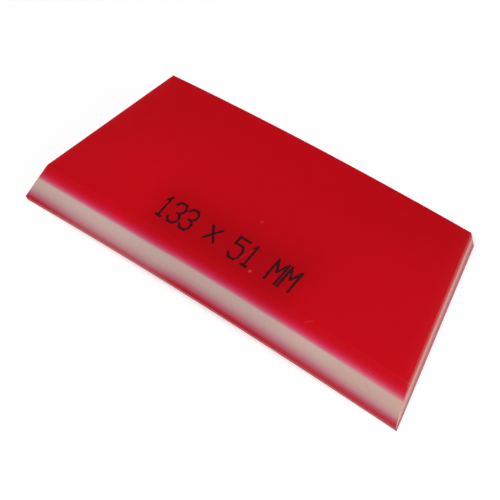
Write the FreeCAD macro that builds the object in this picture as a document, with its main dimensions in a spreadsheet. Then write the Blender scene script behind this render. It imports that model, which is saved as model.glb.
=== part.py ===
import FreeCAD, Part
import os
import Sketcher

# A laminated urethane squeegee blade: red, clear and red layers bonded face to face.
# Millimetres. +X runs along the working edge, +Y from the working edge to the back, +Z up.
# The strip was cast and stored on a reel, so the cut blade keeps a slight curl along its length.
# Each layer is built on its curl axis, the body's own Y axis, and its Placement then lays the
# blade down on its four lower corners, with the origin at the middle of its footprint.

doc = FreeCAD.newDocument("squeegee_blade")

# ---------------------------------------------------------------- driving dimensions
SIZES = {
    "blade_length": 133.35,      # along the working edge, round the curl at mid-thickness
    "blade_width": 50.8,         # working edge to back
    "blade_thickness": 6.35,     # all layers together
    "layer_count": 3,
    "land_height": 1.5875,       # upright face left below the bevel
    "bevel_run": 9.525,          # how far the bevel reaches back over the top
    "end_angle": 16.3,           # slant of each end in plan, degrees
    "curl_radius": 704,          # from the curl axis to the underside
    "ink_thickness": 0.05,
    "marking_setback": 12.7,     # working edge to the foot of the marking
    "glyph_height": 6.2,
    "glyph_width": 3.4,
    "glyph_pitch": 4.4,
    "stroke_width": 0.7,
}

sheet = doc.addObject("Spreadsheet::Sheet", "Sizes")
for row, (alias, value) in enumerate(SIZES.items(), start=1):
    sheet.set(f"A{row}", alias)
    sheet.set(f"B{row}", str(value))
    sheet.setAlias(f"B{row}", alias)
doc.recompute()

# ---------------------------------------------------------------- derived lengths, as expressions
HALF_WIDTH = "Sizes.blade_width / 2"
LAYER = "Sizes.blade_thickness / Sizes.layer_count"
TOP_RADIUS = "(Sizes.curl_radius + Sizes.blade_thickness)"
MID_RADIUS = "(Sizes.curl_radius + Sizes.blade_thickness / 2)"
BEVEL_DROP = "(Sizes.blade_thickness - Sizes.land_height)"
END_SLOPE = "tan(Sizes.end_angle * 1 deg)"
# Angles about the curl axis, from the middle of the blade to three places on its end.
FRONT_CORNER = f"(Sizes.blade_length / 2 / {MID_RADIUS} * 1 rad)"
END_MIDDLE = f"((Sizes.blade_length - Sizes.blade_width * {END_SLOPE}) / 2 / {MID_RADIUS} * 1 rad)"
BACK_CORNER = f"((Sizes.blade_length / 2 - Sizes.blade_width * {END_SLOPE}) / {MID_RADIUS} * 1 rad)"
# The back is shorter, so it arches less, and the blade tips back until its corners touch too.
REST_TILT = f"atan(Sizes.curl_radius * (cos({BACK_CORNER}) - cos({FRONT_CORNER})) / Sizes.blade_width)"
CORNER_HEIGHT = f"Sizes.curl_radius * cos({FRONT_CORNER})"


def origin_plane(body, role):
    return next(feature for feature in body.Origin.OriginFeatures if feature.Role == role)


def sketch_on(body, role, name):
    sketch = body.newObject("Sketcher::SketchObject", name)
    sketch.AttachmentSupport = [(origin_plane(body, role), "")]
    sketch.MapMode = "FlatFace"
    return sketch


def closed_outline(sketch, points):
    """Draw straight sides through the points and join them end to end."""
    corners = [FreeCAD.Vector(across, up, 0) for across, up in points]
    for start, end in zip(corners, corners[1:] + corners[:1]):
        sketch.addGeometry(Part.LineSegment(start, end), False)
    for side in range(len(corners)):
        following = (side + 1) % len(corners)
        sketch.addConstraint(Sketcher.Constraint("Coincident", side, 2, following, 1))


def bind(sketch, constraint, name, expression):
    """Add a dimension to the sketch and tie it to the sheet."""
    index = sketch.addConstraint(constraint)
    sketch.renameConstraint(index, name)
    sketch.setExpression(f"Constraints.{name}", expression)


def pin_corner(sketch, corner, name, across, up):
    """Place the first point of a side by its two distances from the sketch's origin."""
    point = sketch.getPoint(corner, 1)
    bind(sketch, Sketcher.Constraint("DistanceX", -1, 1, corner, 1, point.x), f"{name}_across", across)
    bind(sketch, Sketcher.Constraint("DistanceY", -1, 1, corner, 1, point.y), f"{name}_up", up)


def layer_blank(body, index):
    """The curled strip that this layer was cast as: a rectangle swung about the curl axis."""
    half_width = SIZES["blade_width"] / 2
    layer = SIZES["blade_thickness"] / SIZES["layer_count"]
    low = SIZES["curl_radius"] + index * layer
    high = low + layer
    section = sketch_on(body, "YZ_Plane", "layer_section")
    closed_outline(section, [(-half_width, low), (half_width, low), (half_width, high), (-half_width, high)])
    bottom, back, top, front = range(4)
    for side in (bottom, top):
        section.addConstraint(Sketcher.Constraint("Horizontal", side))
    for side in (back, front):
        section.addConstraint(Sketcher.Constraint("Vertical", side))
    pin_corner(section, bottom, "front", f"-{HALF_WIDTH}", f"Sizes.curl_radius + {index} * {LAYER}")
    pin_corner(section, top, "back", HALF_WIDTH, f"Sizes.curl_radius + {index + 1} * {LAYER}")

    blank = body.newObject("PartDesign::Revolution", "curled_strip")
    blank.Profile = section
    blank.ReferenceAxis = (section, ["H_Axis"])
    blank.Midplane = True
    blank.setExpression("Angle", f"3 * {FRONT_CORNER}")
    return blank


def ground_bevel(body):
    """The bevel, ground along the curl: its line is carried one bevel past both its ends."""
    front = -SIZES["blade_width"] / 2
    run = SIZES["bevel_run"]
    drop = SIZES["blade_thickness"] - SIZES["land_height"]
    foot = SIZES["curl_radius"] + SIZES["land_height"]
    section = sketch_on(body, "YZ_Plane", "bevel_section")
    closed_outline(section, [(front - run, foot - drop), (front + 2 * run, foot + 2 * drop),
                             (front - run, foot + 2 * drop)])
    bevel_line, overhead, upright = range(3)
    section.addConstraint(Sketcher.Constraint("Horizontal", overhead))
    section.addConstraint(Sketcher.Constraint("Vertical", upright))
    foot_height = "Sizes.curl_radius + Sizes.land_height"
    pin_corner(section, bevel_line, "foot", f"-{HALF_WIDTH} - Sizes.bevel_run",
               f"{foot_height} - {BEVEL_DROP}")
    pin_corner(section, overhead, "crest", f"-{HALF_WIDTH} + 2 * Sizes.bevel_run",
               f"{foot_height} + 2 * {BEVEL_DROP}")

    bevel = body.newObject("PartDesign::Groove", "ground_bevel")
    bevel.Profile = section
    bevel.ReferenceAxis = (section, ["H_Axis"])
    bevel.Midplane = True
    bevel.setExpression("Angle", f"4 * {FRONT_CORNER}")
    return bevel


def slanted_end(body):
    """The saw cut at the right end: square to the curled faces and slanted in plan."""
    section = sketch_on(body, "XZ_Plane", "end_waste")
    radius = SIZES["curl_radius"]
    thick = SIZES["blade_thickness"]
    lean = SIZES["blade_length"] / 2 / radius
    far = SIZES["blade_length"]
    closed_outline(section, [(radius * lean, radius - thick), (radius * lean, radius + 2 * thick),
                             (far, radius + 2 * thick), (far, radius - thick)])
    cut_line, overhead, outside, underneath = range(4)
    for side, next_side in ((cut_line, overhead), (overhead, outside), (outside, underneath)):
        section.addConstraint(Sketcher.Constraint("Perpendicular", side, next_side))
    section.addConstraint(Sketcher.Constraint("PointOnObject", -1, 1, cut_line))
    bind(section, Sketcher.Constraint("Angle", cut_line, 1, -2, 1, lean), "lean", END_MIDDLE)
    bind(section, Sketcher.Constraint("Distance", -1, 1, cut_line, 1, radius - thick), "start",
         "Sizes.curl_radius - Sizes.blade_thickness")
    bind(section, Sketcher.Constraint("Distance", cut_line, 3 * thick), "depth", "3 * Sizes.blade_thickness")
    bind(section, Sketcher.Constraint("Distance", overhead, far), "reach", "Sizes.blade_length")

    cut = body.newObject("PartDesign::Pocket", "slanted_end")
    cut.Profile = section
    cut.SideType = "Two sides"
    cut.Type = "ThroughAll"
    cut.Type2 = "ThroughAll"
    cut.UseCustomVector = True
    cut.Direction = FreeCAD.Vector(0, 1, 0)
    cut.setExpression("Direction.x", f"-{END_SLOPE} * cos({END_MIDDLE})")
    cut.setExpression("Direction.z", f"{END_SLOPE} * sin({END_MIDDLE})")
    return cut


def lay_down(piece):
    """Tip the piece back and drop it, so that the blade stands on the plane Z = 0."""
    backwards = FreeCAD.Rotation(FreeCAD.Vector(-1, 0, 0), 1)
    piece.Placement = FreeCAD.Placement(FreeCAD.Vector(0, 0, 0), backwards)
    piece.setExpression("Placement.Rotation.Angle", REST_TILT)
    piece.setExpression("Placement.Base.y", f"-sin({REST_TILT}) * ({CORNER_HEIGHT} + {TOP_RADIUS}) / 2")
    piece.setExpression("Placement.Base.z",
                        f"-({HALF_WIDTH} * sin({REST_TILT}) + {CORNER_HEIGHT} * cos({REST_TILT}))")


def layer(label, index):
    """One urethane layer, counted from the underside."""
    body = doc.addObject("PartDesign::Body", label)
    body.Label = label
    layer_blank(body, index)
    ground_bevel(body)
    end = slanted_end(body)
    both_ends = body.newObject("PartDesign::Mirrored", "both_ends")
    both_ends.Originals = [end]
    both_ends.MirrorPlane = (origin_plane(body, "YZ_Plane"), [""])
    body.Tip = both_ends
    lay_down(body)
    return body


# ---------------------------------------------------------------- ink marking: the blade's size
MARKING = "133 X 51 MM"
# Single-stroke glyphs on a grid four units wide and six high.
GLYPH_GRID = (4, 6)
GLYPHS = {
    "1": [[(1, 5), (2, 6), (2, 0)], [(1, 0), (3, 0)]],
    "3": [[(0, 5), (1, 6), (3, 6), (4, 5), (4, 4), (3, 3), (4, 2), (4, 1), (3, 0), (1, 0), (0, 1)],
          [(2, 3), (3, 3)]],
    "5": [[(4, 6), (0, 6), (0, 4), (3, 4), (4, 3), (4, 1), (3, 0), (1, 0), (0, 1)]],
    "X": [[(0, 1), (4, 5)], [(0, 5), (4, 1)]],
    "M": [[(0, 0), (0, 6), (2, 3), (4, 6), (4, 0)]],
    " ": [],
}


def stroke_face(start, end, radius):
    """A straight stroke with round ends, lying flat."""
    side = FreeCAD.Vector(start.y - end.y, end.x - start.x, 0).normalize() * radius
    beyond = (end - start).normalize() * radius
    outline = [
        Part.LineSegment(start - side, end - side),
        Part.Arc(end - side, end + beyond, end + side),
        Part.LineSegment(end + side, start + side),
        Part.Arc(start + side, start - beyond, start - side),
    ]
    return Part.Face(Part.Wire([curve.toShape() for curve in outline]))


def glyph_face(glyph, left, foot):
    unit = FreeCAD.Vector(sheet.glyph_width / GLYPH_GRID[0], sheet.glyph_height / GLYPH_GRID[1], 0)
    radius = sheet.stroke_width / 2
    strokes = []
    for line in GLYPHS[glyph]:
        points = [FreeCAD.Vector(left + across * unit.x, foot + up * unit.y, 0) for across, up in line]
        strokes += [stroke_face(start, end, radius) for start, end in zip(points, points[1:])]
    return strokes[0].multiFuse(strokes[1:]).removeSplitter()


def size_marking():
    """Ink on the top face: upright glyphs, cut out of a thin film that follows the curl."""
    span = (len(MARKING) - 1) * sheet.glyph_pitch + sheet.glyph_width
    foot = sheet.marking_setback - sheet.blade_width / 2
    columns = [(glyph, place * sheet.glyph_pitch - span / 2) for place, glyph in enumerate(MARKING)]
    faces = [glyph_face(glyph, left, foot) for glyph, left in columns if GLYPHS[glyph]]
    for face in faces:
        face.translate(FreeCAD.Vector(0, 0, sheet.curl_radius))
    glyphs = doc.addObject("Part::Feature", "glyph_columns")
    upwards = FreeCAD.Vector(0, 0, 2 * sheet.blade_thickness)
    glyphs.Shape = Part.makeCompound([face.extrude(upwards) for face in faces])

    along_y = FreeCAD.Rotation(FreeCAD.Vector(0, 0, 1), FreeCAD.Vector(0, 1, 0))
    radii = {"ink_surface": f"{TOP_RADIUS} + Sizes.ink_thickness", "blade_surface": TOP_RADIUS}
    cylinders = []
    for name, radius in radii.items():
        cylinder = doc.addObject("Part::Cylinder", name)
        cylinder.Placement = FreeCAD.Placement(FreeCAD.Vector(0, 0, 0), along_y)
        cylinder.setExpression("Placement.Base.y", f"-{HALF_WIDTH}")
        cylinder.setExpression("Height", "Sizes.blade_width")
        cylinder.setExpression("Radius", radius)
        cylinders.append(cylinder)
    film = doc.addObject("Part::Cut", "ink_film")
    film.Base, film.Tool = cylinders

    marking = doc.addObject("Part::Common", "size_marking")
    marking.Label = "size_marking"
    marking.Base = glyphs
    marking.Tool = film
    lay_down(marking)
    return marking


nodes = [
    layer("bottom_red_layer", 0),
    layer("clear_core_layer", 1),
    layer("top_red_layer", 2),
    size_marking(),
]
doc.recompute()

# ---------------------------------------------------------------- checks, then one file per node
for item in doc.Objects:
    if "Invalid" in item.State or "Error" in item.State:
        raise RuntimeError(f"{item.Label} failed to build")
for node in nodes:
    if node.Shape.isNull() or not node.Shape.isValid():
        raise RuntimeError(f"{node.Label} has no valid shape")

os.makedirs("parts", exist_ok=True)
for node in nodes:
    node.Shape.exportStep(os.path.join("parts", node.Label + ".step"))
    box = node.Shape.BoundBox
    print(f"{node.Label}: {node.Shape.Volume:.2f} mm3, Y {box.YMin:.3f} to {box.YMax:.3f}, "
          f"Z {box.ZMin:.3f} to {box.ZMax:.3f}")
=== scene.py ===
import math

import bmesh
import bpy
import numpy as np
from mathutils import Matrix, Vector, noise


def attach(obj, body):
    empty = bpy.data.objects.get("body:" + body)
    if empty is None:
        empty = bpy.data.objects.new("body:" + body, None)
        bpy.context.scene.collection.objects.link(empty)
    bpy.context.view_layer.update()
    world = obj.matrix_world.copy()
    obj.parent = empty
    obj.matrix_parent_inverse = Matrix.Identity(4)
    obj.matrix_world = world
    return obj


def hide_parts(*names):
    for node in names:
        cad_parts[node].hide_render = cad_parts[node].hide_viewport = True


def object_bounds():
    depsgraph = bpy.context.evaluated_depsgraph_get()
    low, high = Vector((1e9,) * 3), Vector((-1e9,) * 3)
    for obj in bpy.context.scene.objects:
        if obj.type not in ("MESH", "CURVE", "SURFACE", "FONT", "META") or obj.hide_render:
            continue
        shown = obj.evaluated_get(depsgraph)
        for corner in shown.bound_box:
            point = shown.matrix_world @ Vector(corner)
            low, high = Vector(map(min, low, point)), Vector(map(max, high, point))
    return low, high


# A laminated urethane squeegee blade on a pale floor. Metres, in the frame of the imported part:
# +X along the working edge, +Y from the working edge to the back, +Z up.
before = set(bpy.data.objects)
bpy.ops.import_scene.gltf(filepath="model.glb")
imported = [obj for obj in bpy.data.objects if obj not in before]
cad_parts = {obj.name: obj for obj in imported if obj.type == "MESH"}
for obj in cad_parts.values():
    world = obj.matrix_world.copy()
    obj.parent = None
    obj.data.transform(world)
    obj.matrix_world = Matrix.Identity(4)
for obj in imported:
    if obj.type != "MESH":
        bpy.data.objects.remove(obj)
CAD_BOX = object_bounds()
MM = 0.001

# ---------------------------------------------------------------- the blade's own sizes, as cut flat
LENGTH = 133.35 * MM          # along the working edge
WIDTH = 50.8 * MM             # working edge to back
THICKNESS = 6.35 * MM
LAYER = THICKNESS / 3
LAND = 1.5875 * MM            # upright face below the bevel
BEVEL_RUN = 9.525 * MM
END_SLOPE = math.tan(math.radians(16.3))
CURL_RADIUS = 704 * MM        # from the curl axis to the underside
MID_RADIUS = CURL_RADIUS + THICKNESS / 2
EDGE_RADIUS = 0.08 * MM       # how far the cut edges are softened
BEVEL_SLOPE = BEVEL_RUN / (THICKNESS - LAND)

# ---------------------------------------------------------------- from the flat blade to the frame
# The blade is bent about its curl axis, tipped back until its four lower corners lie level, and set
# down with the middle of its footprint at the middle of the CAD model's.
FRONT_CORNER = LENGTH / 2 / MID_RADIUS
BACK_CORNER = (LENGTH / 2 - WIDTH * END_SLOPE) / MID_RADIUS
REST_TILT = math.atan(CURL_RADIUS * (math.cos(BACK_CORNER) - math.cos(FRONT_CORNER)) / WIDTH)
CORNER_HEIGHT = CURL_RADIUS * math.cos(FRONT_CORNER)
TIP_BACK = Matrix.Rotation(-REST_TILT, 3, "X")
FOOT = TIP_BACK @ Vector((0, -WIDTH / 2, CORNER_HEIGHT))
FOOTPRINT_MIDDLE = math.sin(REST_TILT) * (CORNER_HEIGHT + CURL_RADIUS + THICKNESS) / 2
FRAME_MIDDLE = (Vector(CAD_BOX[0]) + Vector(CAD_BOX[1])) / 2
LAY_DOWN = Vector((FRAME_MIDDLE.x, FRAME_MIDDLE.y - FOOTPRINT_MIDDLE, -FOOT.z))


def front_at(z):
    """How far back the front face lies at a height above the underside."""
    return max(0.0, (z - LAND) * BEVEL_SLOPE)


def end_at(y):
    """Half the blade's length at a distance from the working edge."""
    return LENGTH / 2 - y * END_SLOPE


def curled(place):
    """A point of the flat blade, laid in the frame."""
    angle = place.x / MID_RADIUS
    radius = CURL_RADIUS + place.z
    on_axis = Vector((radius * math.sin(angle), place.y - WIDTH / 2, radius * math.cos(angle)))
    return TIP_BACK @ on_axis + LAY_DOWN


def cast_wave(place):
    """Slow unevenness of the cast sheet, growing from nothing at the underside."""
    slow = noise.noise(Vector((place.x / (31 * MM), place.y / (23 * MM), 0.4)))
    quick = noise.noise(Vector((place.x / (9 * MM), place.y / (8 * MM), 7.3)))
    return (0.035 * slow + 0.008 * quick) * MM * place.z / THICKNESS


# ---------------------------------------------------------------- layer meshes
JOINTS = (LAYER, 2 * LAYER)   # heights at which one layer is bonded to the next
SLICE = 1.9 * MM              # the cuts across a mesh are at least this far apart
SNUG = 1e-7                   # closer than this is the same place


def on_joint(item):
    """Whether an edge or a face lies in the plane of a joint."""
    return any(all(abs(vertex.co.z - z) < SNUG for vertex in item.verts) for z in JOINTS)


def flat_layer(index):
    """One flat layer as a closed bmesh: its section at both slanted ends, joined all round."""
    low = index * LAYER
    high = low + LAYER
    section = [(front_at(low), low), (WIDTH, low), (WIDTH, high), (front_at(high), high)]
    if low < LAND < high:
        section.append((0.0, LAND))
    mesh = bmesh.new()
    left = [mesh.verts.new((-end_at(y), y, z)) for y, z in section]
    right = [mesh.verts.new((end_at(y), y, z)) for y, z in section]
    mesh.faces.new(left)
    mesh.faces.new(list(reversed(right)))
    for corner in range(len(section)):
        following = (corner + 1) % len(section)
        mesh.faces.new((left[corner], right[corner], right[following], left[following]))
    bmesh.ops.recalc_face_normals(mesh, faces=mesh.faces[:])
    return mesh


def soften_edges(mesh):
    """Round off the outer edges and leave those of the joints square."""
    outer = [edge for edge in mesh.edges if not on_joint(edge)]
    bmesh.ops.bevel(mesh, geom=outer, offset=EDGE_RADIUS, segments=3, profile=0.5, affect="EDGES")


def slice_mesh(mesh, normal, low, high):
    """Cut the mesh across at even steps, so that it can bend and carry the cast's unevenness."""
    cuts = int((high - low) / SLICE)
    for step in range(1, cuts):
        point = normal * (low + (high - low) * step / cuts)
        everything = mesh.verts[:] + mesh.edges[:] + mesh.faces[:]
        bmesh.ops.bisect_plane(mesh, geom=everything, dist=SNUG, plane_co=point, plane_no=normal)


def shade_smooth(mesh):
    """Smooth shading all over, with a crease where a joint's face meets the outside."""
    for edge in mesh.edges:
        edge.smooth = not (on_joint(edge) and any(not on_joint(face) for face in edge.link_faces))
    for face in mesh.faces:
        face.smooth = True


def bend(data):
    """Lay a flat mesh in the frame. Each point keeps its flat place, in millimetres, for the material."""
    flat = [vertex.co.copy() for vertex in data.vertices]
    place = data.attributes.new("place", "FLOAT_VECTOR", "POINT")
    place.data.foreach_set("vector", [value / MM for point in flat for value in point])
    for vertex, point in zip(data.vertices, flat):
        vertex.co = curled(point + Vector((0, 0, cast_wave(point))))


def linked_object(name, data):
    """A new object of the scene."""
    piece = bpy.data.objects.new(name, data)
    bpy.context.scene.collection.objects.link(piece)
    return piece


def layer_piece(name, index, material):
    """One urethane layer, curled."""
    mesh = flat_layer(index)
    soften_edges(mesh)
    slice_mesh(mesh, Vector((1, 0, 0)), -LENGTH / 2, LENGTH / 2)
    slice_mesh(mesh, Vector((0, 1, 0)), 0.0, WIDTH)
    shade_smooth(mesh)
    bmesh.ops.dissolve_degenerate(mesh, dist=SNUG, edges=mesh.edges[:])
    data = bpy.data.meshes.new(name)
    mesh.to_mesh(data)
    mesh.free()
    bend(data)
    data.materials.append(material)
    piece = linked_object(name, data)
    even = piece.modifiers.new("flat_faces_stay_flat", "WEIGHTED_NORMAL")
    even.keep_sharp = True
    return piece


# ---------------------------------------------------------------- node helpers
class Graph:
    """A material's nodes, written as sums."""

    def __init__(self, name):
        self.material = bpy.data.materials.new(name)
        self.material.use_nodes = True
        self.tree = self.material.node_tree
        self.shader = self.tree.nodes["Principled BSDF"]

    def feed(self, socket, value):
        if isinstance(value, bpy.types.NodeSocket):
            self.tree.links.new(value, socket)
        else:
            socket.default_value = value

    def math(self, operation, *inputs):
        node = self.tree.nodes.new("ShaderNodeMath")
        node.operation = operation
        for socket, value in zip(node.inputs, inputs):
            self.feed(socket, value)
        return node.outputs[0]

    def add(self, first, *others):
        for other in others:
            first = self.math("ADD", first, other)
        return first

    def less(self, first, second):
        return self.math("SUBTRACT", first, second)

    def times(self, first, *others):
        for other in others:
            first = self.math("MULTIPLY", first, other)
        return first

    def positive(self, value):
        return self.math("MAXIMUM", value, 0.0)

    def fade(self, distance, reach, power=1.0):
        """1 at no distance, falling as exp(-(distance / reach) ** power)."""
        share = self.math("DIVIDE", self.positive(distance), reach)
        return self.math("EXPONENT", self.times(self.math("POWER", share, power), -1.0))

    def step(self, value, low, high):
        """0 below low and 1 above high, smooth between."""
        node = self.tree.nodes.new("ShaderNodeMapRange")
        node.interpolation_type = "SMOOTHSTEP"
        self.feed(node.inputs["Value"], value)
        node.inputs["From Min"].default_value = low
        node.inputs["From Max"].default_value = high
        return node.outputs["Result"]

    def below(self, value, low, high):
        """1 below low and 0 above high, smooth between."""
        return self.less(1.0, self.step(value, low, high))

    def varied(self, least, spread, amount):
        """From least up to least + spread, as the amount goes from 0 to 1."""
        return self.add(least, self.times(amount, spread))

    def colour(self, red, green, blue):
        node = self.tree.nodes.new("ShaderNodeCombineColor")
        for socket, value in zip(node.inputs, (red, green, blue)):
            self.feed(socket, value)
        return node.outputs[0]

    def mix(self, share, first, second):
        node = self.tree.nodes.new("ShaderNodeMix")
        node.data_type = "RGBA"
        self.feed(node.inputs[0], share)
        self.feed(node.inputs[6], first)
        self.feed(node.inputs[7], second)
        return node.outputs[2]

    def tint(self, colour, share, target):
        """The colour, moved by a share towards a target given as (red, green, blue)."""
        return self.mix(share, colour, (*target, 1))

    def stretched(self, place, scale):
        node = self.tree.nodes.new("ShaderNodeMapping")
        self.feed(node.inputs["Vector"], place)
        node.inputs["Scale"].default_value = scale
        return node.outputs[0]

    def noise(self, place, scale, detail=2.0, roughness=0.5):
        node = self.tree.nodes.new("ShaderNodeTexNoise")
        self.feed(node.inputs["Vector"], place)
        node.inputs["Scale"].default_value = scale
        node.inputs["Detail"].default_value = detail
        node.inputs["Roughness"].default_value = roughness
        return node.outputs["Fac"]

    def specks(self, place, per_mm, size):
        """Sparse round specks, in about a quarter of the texture's cells: 1 inside, 0 outside."""
        node = self.tree.nodes.new("ShaderNodeTexVoronoi")
        self.feed(node.inputs["Vector"], place)
        node.inputs["Scale"].default_value = per_mm
        near = self.below(node.outputs["Distance"], size * per_mm * 0.6, size * per_mm)
        draw = self.math("FRACT", self.times(node.outputs["Color"], 7.0))
        return self.times(near, self.math("GREATER_THAN", draw, 0.72))

    def bump(self, height, depth_mm, below=None):
        node = self.tree.nodes.new("ShaderNodeBump")
        node.inputs["Distance"].default_value = depth_mm * MM
        self.feed(node.inputs["Height"], height)
        if below is not None:
            self.feed(node.inputs["Normal"], below)
        return node.outputs[0]


# ---------------------------------------------------------------- urethane
# Lengths and places here are in millimetres of the flat blade.
# The bottom red is thinner along one stretch, where more light comes through: it thins out over the
# first of these ranges of x, and thickens again over the second.
THINS_OUT = (-68.0, -36.0)
THICKENS = (-19.0, -3.0)
# Heights of the two colour boundaries, and how far they drop along that stretch.
LOWER_BOUNDARY, LOWER_DROP = LAYER / MM + 0.11, 0.31
UPPER_BOUNDARY, UPPER_DROP = 2 * LAYER / MM + 0.03, 0.09
# A point belongs to a cut face within the first of these distances from it, and no longer beyond
# the second.
CUT_SKIN = (0.02, 0.10)
LAND_SKIN = (0.05, 0.35)

# How the laminate is coloured on each kind of face, as (red, green, blue), and over how many
# millimetres the layer beside each one still shines through: exp(-(distance / reach) ** power).
# Pinking is what the red below it takes from the core's colour.
GROUND_FACE = {
    "core": (0.541, 0.372, 0.332),
    "pinking": (0.115, 0.285, 0.208),
    "pinking_reach": (1.10, 0.77, 0.73),
    "pinking_power": (1.5, 1.45, 1.3),
    "bottom": (0.430, 0.0008, 0.0050),
    "bottom_reach": (1.0, 0.25, 0.28),
    "top": (0.455, 0.0016, 0.0060),
    "top_reach": (1.15, 0.245, 0.44),
    "top_power": (2.2, 1.0, 1.15),
}
SAWN_FACE = {
    "core": (0.545, 0.222, 0.212),
    "pinking": (0.090, 0.085, 0.050),
    "pinking_reach": (1.10, 0.70, 0.70),
    "pinking_power": (1.5, 1.3, 1.3),
    # paler bottom red on the sawn ends: painted light glowing in the red
    "bottom": (0.385, 0.105, 0.135),
    "bottom_reach": (1.0, 0.25, 0.28),
    "top": (0.440, 0.0020, 0.0070),
    "top_reach": (1.15, 0.50, 0.50),
    "top_power": (2.2, 1.0, 1.0),
}
SAWN_TOP_SHIFT = -0.65        # how much lower the top red reaches on the sawn ends

BLACK = (0.0, 0.0, 0.0)
LIT_CORE = (0.60, 0.40, 0.36)
MILKY = (0.66, 0.48, 0.47)
# colour of the painted light on the top face
PAINTED_LIGHT_RED = (0.955, 0.0016, 0.006)
LEAKING_LIGHT = (0.72, 0.11, 0.13)
# colour of the painted shade just above the land
ARRIS_SHADE_RED = (0.300, 0.004, 0.010)
# the land's red with a painted glow and reflection on it, paler along the thin stretch
LAND_RED_AND_GLOW = (0.520, 0.068, 0.085)
THIN_LAND_RED_AND_GLOW = (0.530, 0.105, 0.125)
# colour of the painted shade at the foot of the land
FOOT_SHADE_RED = (0.300, 0.034, 0.056)
YELLOWER_END_CORE = (0.50, 0.42, 0.29)
WARM_CORE = (0.503, 0.306, 0.246)
PALE_DUST = (0.75, 0.42, 0.36)
PALE_SCRATCH = (0.80, 0.33, 0.30)

# Painted shade round the print, where the ink takes light from the red round it: the patch's middle x and
# y, and half its length and width.
SHADE_MIDDLE = (0.45, 15.8)
SHADE_HALF = (20.5, 2.4)
# Nicks and scratches of the top face: middle x and y, length, width, turn in degrees, strength.
HANDLING_MARKS = [
    (11.5, 12.3, 1.1, 0.9, 20, 0.13),
    (4.5, 25.3, 1.0, 0.8, 50, 0.07),
    (33.6, 9.3, 2.9, 0.35, 32, 0.06),
    (7.55, 16.0, 8.5, 0.35, 64, 0.04),
]


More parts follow.
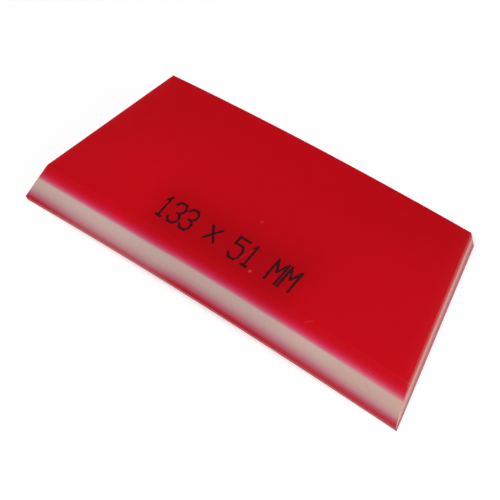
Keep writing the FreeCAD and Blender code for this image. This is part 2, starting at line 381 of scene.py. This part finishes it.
class BladeGraph(Graph):
    """A graph that knows where it is on the flat blade, in millimetres."""

    def __init__(self, name):
        super().__init__(name)
        attribute = self.tree.nodes.new("ShaderNodeAttribute")
        attribute.attribute_name = "place"
        self.place = attribute.outputs["Vector"]
        parts = self.tree.nodes.new("ShaderNodeSeparateXYZ")
        self.feed(parts.inputs[0], self.place)
        self.x, self.y, self.z = parts.outputs

        end = self.less(LENGTH / 2 / MM, self.times(self.y, END_SLOPE))
        to_end = self.less(end, self.math("ABSOLUTE", self.x))
        self.from_end = self.times(to_end, math.cos(math.atan(END_SLOPE)))
        from_saw = self.math("MINIMUM", self.from_end, self.less(WIDTH / MM, self.y))
        self.sawn = self.below(from_saw, *CUT_SKIN)
        bevel = self.times(self.less(self.z, LAND / MM), BEVEL_SLOPE)
        from_bevel = self.times(self.less(self.y, bevel), math.cos(math.atan(BEVEL_SLOPE)))
        self.ground = self.below(from_bevel, *CUT_SKIN)
        self.front = self.below(self.y, *LAND_SKIN)

        self.thin = self.less(self.step(self.x, *THINS_OUT), self.step(self.x, *THICKENS))
        lower = self.less(LOWER_BOUNDARY, self.times(self.thin, LOWER_DROP))
        self.upper = self.less(UPPER_BOUNDARY, self.times(self.thin, UPPER_DROP))
        self.in_bottom = self.positive(self.less(lower, self.z))
        self.in_core = self.positive(self.less(self.z, lower))

    def laminate(self, face, top_shift=0.0):
        """Colour through the layers: red, milky core with the red shining into it, red."""
        in_top = self.positive(self.less(self.z, self.add(self.upper, top_shift)))
        channels = []
        for channel in range(3):
            tone = {key: values[channel] for key, values in face.items()}
            red_in_core = self.fade(self.in_core, tone["pinking_reach"], tone["pinking_power"])
            core = self.less(tone["core"], self.times(red_in_core, tone["pinking"]))
            through_bottom = self.fade(self.in_bottom, tone["bottom_reach"])
            core_part = self.times(self.less(core, tone["bottom"]), through_bottom)
            lower = self.add(tone["bottom"], core_part)
            through_top = self.fade(in_top, tone["top_reach"], tone["top_power"])
            lower_part = self.times(self.less(lower, tone["top"]), through_top)
            channels.append(self.add(tone["top"], lower_part))
        return self.colour(*channels)

    def spot(self, x, y, reach_x, reach_y):
        """1 at one place of the blade, falling softly all round it."""
        off_x = self.math("DIVIDE", self.less(self.x, x), reach_x)
        off_y = self.math("DIVIDE", self.less(self.y, y), reach_y)
        return self.fade(self.add(self.times(off_x, off_x), self.times(off_y, off_y)), 1.0)

    def scratch(self, x, y, length, width, turn):
        """1 along a short straight scratch, 0 beside it."""
        off_x, off_y = self.less(self.x, x), self.less(self.y, y)
        ahead = self.add(self.times(off_x, math.cos(turn)), self.times(off_y, math.sin(turn)))
        aside = self.less(self.times(off_y, math.cos(turn)), self.times(off_x, math.sin(turn)))
        along = self.below(self.math("ABSOLUTE", ahead), 0.35 * length, 0.5 * length)
        across = self.below(self.math("ABSOLUTE", aside), 0.15 * width, 0.5 * width)
        return self.times(along, across)

    def print_shade(self):
        """The black print swallows light around it, most of all in front: 0 far away, more close by."""
        aside = self.math("ABSOLUTE", self.less(self.x, SHADE_MIDDLE[0]))
        off_x = self.positive(self.less(aside, SHADE_HALF[0]))
        behind = self.less(self.y, SHADE_MIDDLE[1] + SHADE_HALF[1])
        before = self.times(self.less(SHADE_MIDDLE[1] - SHADE_HALF[1], self.y), 0.67)
        off_y = self.positive(self.math("MAXIMUM", behind, before))
        off = self.math("SQRT", self.add(self.times(off_x, off_x), self.times(off_y, off_y)))
        above_underside = self.step(self.z, 0.2, 1.2)
        return self.times(self.fade(off, 6.0, 1.4), 0.25, above_underside)

    def finish_surface(self):
        """Roughness and bump: smooth cast faces, a finely ground bevel and sawn ends."""
        peel = self.noise(self.place, 0.55, 3.0, 0.55)
        along_edge = self.noise(self.stretched(self.place, (0.05, 3.2, 3.2)), 2.2, 3.0, 0.6)
        down_end = self.noise(self.stretched(self.place, (1.6, 1.6, 0.12)), 2.4, 3.0, 0.6)
        cast = self.bump(peel, 0.010)
        ground = self.bump(self.times(self.less(along_edge, 0.5), self.ground), 0.006, cast)
        sawn = self.bump(self.times(self.less(down_end, 0.5), self.sawn), 0.014, ground)
        self.feed(self.shader.inputs["Normal"], sawn)
        patchy = self.varied(0.19, 0.12, self.noise(self.place, 0.16, 4.0, 0.6))
        worn = self.add(self.times(self.sawn, 0.42), self.times(self.front, 0.40))
        self.feed(self.shader.inputs["Roughness"], self.add(patchy, self.times(self.ground, 0.015), worn))
        self.shader.inputs["Specular IOR Level"].default_value = 0.20


def laminated_faces(graph):
    """The laminate on the cast and ground faces, and on the sawn ends, which are palest at the front,
    where the bevel lets light into the core."""
    off_front = graph.math("DIVIDE", graph.y, 9.0)
    near_front = graph.math("EXPONENT", graph.times(off_front, off_front, -1.0))
    in_core = graph.times(graph.step(graph.z, 0.9, 2.4), graph.below(graph.z, 2.9, 4.8))
    sawn = graph.laminate(SAWN_FACE, SAWN_TOP_SHIFT)
    sawn = graph.tint(sawn, graph.times(near_front, 0.95, in_core), LIT_CORE)
    return graph.mix(graph.sawn, graph.laminate(GROUND_FACE), sawn)


def milky_bevel(graph, colour):
    """On the bevel, milkiness reaches into the bottom red along the thin stretch, and a little
    towards the right end."""
    below_top = graph.below(graph.z, 3.9, 4.3)
    deep = graph.less(1.0, graph.fade(graph.in_bottom, 0.3))
    where_thin = graph.times(graph.thin, below_top, 0.11)
    towards_right = graph.times(graph.step(graph.x, 14.0, 38.0), deep, 0.05)
    milky = graph.times(graph.add(where_thin, towards_right), graph.ground)
    return graph.tint(colour, milky, MILKY)


def lit_top(graph, colour):
    """Painted light brightens the front of the top face, for light that went in through the bevel, and
    lays a soft painted pool of light on the top red round one place. Painted shade darkens it towards the
    far back corner."""
    in_red = graph.step(graph.z, 4.2, 4.8)
    # painted light along the front of the top face
    painted_front_light = graph.times(graph.fade(graph.less(graph.y, 9.5), 22.0), 0.10)
    # a painted pool of light on the top red
    painted_light_pool = graph.times(graph.spot(-26.0, 22.0, 24.0, 15.0), 0.107)
    colour = graph.tint(colour, graph.times(in_red, graph.add(painted_front_light, painted_light_pool)), PAINTED_LIGHT_RED)
    # painted shade towards the far back corner
    painted_shade_corner = graph.times(graph.step(graph.x, 0.0, 35.0), graph.step(graph.y, 30.0, 50.0), 0.09)
    return graph.tint(colour, painted_shade_corner, BLACK)


def leaking_ends(graph, colour):
    """The light leaks out again along the sawn ends."""
    return graph.tint(colour, graph.times(graph.fade(graph.from_end, 1.1), 0.05), LEAKING_LIGHT)


def upright_land(graph, colour):
    """The upright land of the thin working edge: its red with a painted glow and reflection, weakest at
    the foot, where painted shade darkens it. Just above the land, painted shade darkens the bevel's
    lowest strip."""
    # painted shade along the bevel just above the land
    arris_shade = graph.times(graph.below(graph.y, 0.5, 1.1), graph.ground, 0.22)
    colour = graph.tint(colour, arris_shade, ARRIS_SHADE_RED)
    # the land's red with a painted glow and reflection, paler along the thin stretch
    land = graph.mix(graph.thin, (*LAND_RED_AND_GLOW, 1), (*THIN_LAND_RED_AND_GLOW, 1))
    # painted shade at the foot of the land
    land = graph.tint(land, graph.below(graph.z, 0.05, 0.80), FOOT_SHADE_RED)
    on_land = graph.times(graph.below(graph.z, 1.45, 1.62), graph.front)
    return graph.mix(on_land, colour, land)


def core_ends(graph, colour):
    """The core is a little yellower near both ends, and warmer towards the right one."""
    in_top = graph.positive(graph.less(graph.z, graph.upper))
    is_core = graph.times(graph.fade(in_top, 0.25), graph.less(1.0, graph.fade(graph.in_core, 0.5)))
    colour = graph.tint(colour, graph.times(graph.fade(graph.from_end, 3.0), 0.25, is_core), YELLOWER_END_CORE)
    return graph.tint(colour, graph.times(graph.step(graph.x, 40.0, 50.0), 0.42, is_core), WARM_CORE)


def clouds_and_shade(graph, colour):
    """Slow clouds, a fine grain, and the shade of the print."""
    cloud = graph.varied(0.965, 0.07, graph.noise(graph.place, 0.045, 3.0, 0.55))
    grain = graph.varied(0.985, 0.03, graph.noise(graph.place, 0.9, 2.0, 0.6))
    lit = graph.times(cloud, grain, graph.less(1.0, graph.print_shade()))
    return graph.tint(colour, graph.less(1.0, lit), BLACK)


def dust_and_marks(graph, colour):
    """Specks of dust all over, and the marks that handling left on the top face."""
    colour = graph.tint(colour, graph.times(graph.specks(graph.place, 0.11, 0.16), 0.12), PALE_DUST)
    on_top = graph.step(graph.z, 5.4, 5.8)
    for x, y, length, width, turn, strength in HANDLING_MARKS:
        mark = graph.scratch(x, y, length, width, math.radians(turn))
        colour = graph.tint(colour, graph.times(mark, on_top, strength), PALE_SCRATCH)
    return colour


URETHANE_CHANGES = [
    milky_bevel,
    lit_top,
    leaking_ends,
    upright_land,
    core_ends,
    clouds_and_shade,
    dust_and_marks,
]


def urethane(name):
    """Cast urethane: the laminate's colours, with all that light and handling do to them."""
    graph = BladeGraph(name)
    colour = laminated_faces(graph)
    for change in URETHANE_CHANGES:
        colour = change(graph, colour)
    graph.feed(graph.shader.inputs["Base Color"], colour)
    graph.finish_surface()
    return graph.material


# ---------------------------------------------------------------- ink marking
MARKING = "133 X 51 MM"
GLYPH_WIDTH = 3.4 * MM
GLYPH_HEIGHT = 6.2 * MM
GLYPH_PITCH = 4.4 * MM
MARKING_SETBACK = 12.7 * MM
# Each glyph's strokes, as lines through points of a grid that is 4 wide and 6 high.
GRID_WIDE, GRID_HIGH = 4, 6
GLYPHS = {
    "1": [[(1, 5), (2, 6), (2, 0)], [(1, 0), (3, 0)]],
    "3": [[(0, 5), (1, 6), (3, 6), (4, 5), (4, 4), (3, 3), (4, 2), (4, 1), (3, 0), (1, 0), (0, 1)],
          [(2, 3), (3, 3)]],
    "5": [[(4, 6), (0, 6), (0, 4), (3, 4), (4, 3), (4, 1), (3, 0), (1, 0), (0, 1)]],
    "X": [[(0, 1), (4, 5)], [(0, 5), (4, 1)]],
    "M": [[(0, 0), (0, 6), (2, 3), (4, 6), (4, 0)]],
    " ": [],
}
DROP_PITCH = 0.42 * MM
DROP_RADIUS = 0.40 * MM
DROP_SPREAD = (0.88, 1.08)    # smallest and largest drop, as a share of the radius
DROP_SCATTER = 0.018 * MM
DROP_MELT = 0.045 * MM        # how softly the drops run into each other
CELL = 0.08 * MM              # of the grid that the film is made of
NUDGE = 0.01 * MM
INK_ROOT = 0.004 * MM         # how far the film reaches down into the urethane
INK_LIP = 0.006 * MM          # how high it stands at its outline
INK_HEIGHT = 0.035 * MM       # and how much higher at its middle


def drops_of(glyph, left, foot, scatter):
    """The ink drops along a glyph's strokes, each a little off its line and of its own size."""
    drops = []
    for line in GLYPHS[glyph]:
        points = [Vector((left + across * GLYPH_WIDTH / GRID_WIDE, foot + up * GLYPH_HEIGHT / GRID_HIGH))
                  for across, up in line]
        for start, end in zip(points, points[1:]):
            count = max(2, round((end - start).length / DROP_PITCH) + 1)
            for step in range(count):
                spot = start.lerp(end, step / (count - 1))
                jitter = scatter.normal(0.0, DROP_SCATTER, 2)
                size = DROP_RADIUS * scatter.uniform(*DROP_SPREAD)
                drops.append((spot.x + jitter[0], spot.y + jitter[1], size))
    return np.array(drops)


def ink_field(spots, drops):
    """Distance outside the merged drops: negative inside the ink."""
    off = spots[:, None, :] - drops[None, :, :2]
    away = np.hypot(off[..., 0], off[..., 1]) - drops[None, :, 2]
    return -DROP_MELT * np.log(np.exp(-away / DROP_MELT).sum(axis=1))


def inked_cells(drops):
    """The low corner of a fine grid with a margin round the drops, and which of its cells hold ink."""
    margin = 2 * DROP_RADIUS
    low = drops[:, :2].min(axis=0) - margin
    high = drops[:, :2].max(axis=0) + margin
    columns, rows = (int(count) for count in np.ceil((high - low) / CELL))
    middles = np.array([(low[0] + (i + 0.5) * CELL, low[1] + (j + 0.5) * CELL)
                        for i in range(columns) for j in range(rows)])
    return low, (ink_field(middles, drops) < 0).reshape(columns, rows)


def film_corners(low, inked, drops):
    """The corners of the inked cells, and their places once the rim is pulled onto the ink's outline."""
    corners = sorted({(i + a, j + b) for i, j in zip(*np.nonzero(inked)) for a in (0, 1) for b in (0, 1)})
    spots = np.array([(low[0] + i * CELL, low[1] + j * CELL) for i, j in corners])
    rim = np.array([not inked[i - 1:i + 1, j - 1:j + 1].all() for i, j in corners])
    for _ in range(3):
        here = ink_field(spots, drops)
        nudged = [ink_field(spots + nudge, drops) for nudge in ((NUDGE, 0), (0, NUDGE))]
        slope = np.stack([beside - here for beside in nudged], axis=1)
        length = np.maximum(np.linalg.norm(slope, axis=1, keepdims=True), 1e-12)
        spots = np.where(rim[:, None], spots - here[:, None] * slope / length, spots)
    return corners, spots


def film_sheet(mesh, corners, spots, heights):
    """A vertex for each corner, at its height above the top face."""
    sheet = {}
    for corner, spot, height in zip(corners, spots, heights):
        flat = Vector((spot[0], spot[1], THICKNESS))
        rise = Vector((0, 0, cast_wave(flat) + height))
        sheet[corner] = mesh.verts.new(curled(flat + rise))
    return sheet


def glyph_film(mesh, drops):
    """A closed film over the drops, thickest along the middle of the strokes."""
    low, inked = inked_cells(drops)
    corners, spots = film_corners(low, inked, drops)
    dome = np.sqrt(np.clip(-ink_field(spots, drops) / DROP_RADIUS, 0.0, 1.0))
    under = film_sheet(mesh, corners, spots, np.full(len(spots), -INK_ROOT))
    over = film_sheet(mesh, corners, spots, INK_LIP + INK_HEIGHT * dome)
    for i, j in zip(*np.nonzero(inked)):
        ring = [(i, j), (i + 1, j), (i + 1, j + 1), (i, j + 1)]
        mesh.faces.new([over[corner] for corner in ring])
        mesh.faces.new([under[corner] for corner in reversed(ring)])
        for side, (a, b) in enumerate(((0, -1), (1, 0), (0, 1), (-1, 0))):
            if not inked[i + a, j + b]:
                start, end = ring[side], ring[(side + 1) % 4]
                mesh.faces.new((under[start], under[end], over[end], over[start]))


def size_marking(material):
    """The blade's size in millimetres, printed on the top face."""
    span = (len(MARKING) - 1) * GLYPH_PITCH + GLYPH_WIDTH
    scatter = np.random.default_rng(5)
    mesh = bmesh.new()
    for column, glyph in enumerate(MARKING):
        if GLYPHS[glyph]:
            glyph_film(mesh, drops_of(glyph, column * GLYPH_PITCH - span / 2, MARKING_SETBACK, scatter))
    for face in mesh.faces:
        face.smooth = True
    data = bpy.data.meshes.new("ink_marking")
    mesh.to_mesh(data)
    mesh.free()
    data.set_sharp_from_angle(angle=math.radians(50))
    data.materials.append(material)
    return linked_object("ink_marking", data)


def marking_ink(name):
    """Matte black ink, a little thin in places so that the red comes through."""
    graph = Graph(name)
    position = graph.tree.nodes.new("ShaderNodeTexCoord").outputs["Object"]
    thin = graph.noise(position, 900.0, 3.0, 0.6)
    worn = graph.step(thin, 0.45, 0.75)
    colour = graph.mix(graph.times(worn, 0.7), (0.034, 0.004, 0.006, 1), (0.120, 0.006, 0.010, 1))
    graph.feed(graph.shader.inputs["Base Color"], colour)
    graph.feed(graph.shader.inputs["Roughness"], graph.varied(0.55, 0.25, thin))
    graph.feed(graph.shader.inputs["Normal"], graph.bump(graph.noise(position, 5000.0, 2.0), 0.004))
    graph.shader.inputs["Specular IOR Level"].default_value = 0.05
    return graph.material


# ---------------------------------------------------------------- build the blade
layers = [
    ("red_bottom", 0, "bottom_red_layer", "red_urethane"),
    ("clear_core", 1, "clear_core_layer", "clear_urethane"),
    ("red_top", 2, "top_red_layer", "red_urethane"),
]
for name, index, node, slot in layers:
    piece = layer_piece(name, index, urethane(name + "_urethane"))
    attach(piece, "root")
    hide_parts(node)

marking = size_marking(marking_ink("black_marking_ink"))
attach(marking, "root")
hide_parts("size_marking")


# ---------------------------------------------------------------- floor, light and camera
def pale_floor():
    """A plain floor that glows a little, so that the blade's contact shadow stays faint."""
    data = bpy.data.meshes.new("floor")
    half = 3.0
    level = CAD_BOX[0][2] - 0.05 * MM
    corners = [(-half, -half, level), (half, -half, level), (half, half, level), (-half, half, level)]
    data.from_pydata(corners, [], [(0, 1, 2, 3)])
    graph = Graph("pale_floor")
    position = graph.tree.nodes.new("ShaderNodeTexCoord").outputs["Object"]
    faint = graph.noise(position, 3.0, 2.0)
    colour = graph.mix(faint, (0.49, 0.49, 0.487, 1), (0.50, 0.50, 0.50, 1))
    graph.feed(graph.shader.inputs["Base Color"], colour)
    graph.shader.inputs["Emission Color"].default_value = (1, 1, 1, 1)
    graph.shader.inputs["Emission Strength"].default_value = 0.52
    graph.shader.inputs["Roughness"].default_value = 0.7
    graph.shader.inputs["Specular IOR Level"].default_value = 0.1
    data.materials.append(graph.material)
    floor = linked_object("floor", data)


def softbox(name, location, size, power):
    """A square soft light that faces the blade."""
    data = bpy.data.lights.new(name, "AREA")
    data.shape = "SQUARE"
    data.size = size
    data.energy = power
    light = linked_object(name, data)
    light.location = location
    light.rotation_euler = (-Vector(location)).to_track_quat("-Z", "Y").to_euler()


def studio_world():
    """A pale horizon under a dim ceiling, so that the flat faces mirror little."""
    world = bpy.data.worlds.new("studio")
    bpy.context.scene.world = world
    world.use_nodes = True
    tree = world.node_tree
    direction = tree.nodes.new("ShaderNodeTexCoord").outputs["Generated"]
    parts = tree.nodes.new("ShaderNodeSeparateXYZ")
    tree.links.new(direction, parts.inputs[0])
    ramp = tree.nodes.new("ShaderNodeValToRGB")
    tree.links.new(parts.outputs["Z"], ramp.inputs["Fac"])
    horizon, ceiling = ramp.color_ramp.elements
    horizon.position = 0.0
    horizon.color = (1.0, 1.0, 1.0, 1)
    ceiling.position = 0.5
    ceiling.color = (0.08, 0.08, 0.082, 1)
    tree.links.new(ramp.outputs["Color"], tree.nodes["Background"].inputs["Color"])


def photo_camera():
    """A camera at the photograph's angle: above the blade, in front of it and to its right."""
    data = bpy.data.cameras.new("camera")
    data.lens = 119.17
    data.sensor_width = 36
    data.clip_start = 0.01
    camera = linked_object("camera", data)
    camera.location = (232.35 * MM, -117.14 * MM, 344.28 * MM)
    camera.rotation_euler = [math.radians(angle) for angle in (33.264, 16.503, 40.738)]
    bpy.context.scene.camera = camera


pale_floor()
studio_world()
softbox("key_softbox", (0.36, -0.23, 1.30), 0.80, 18.0)
softbox("side_softbox", (1.00, 0.30, 0.20), 0.45, 2.9)
photo_camera()
bpy.context.scene.view_settings.view_transform = "Standard"
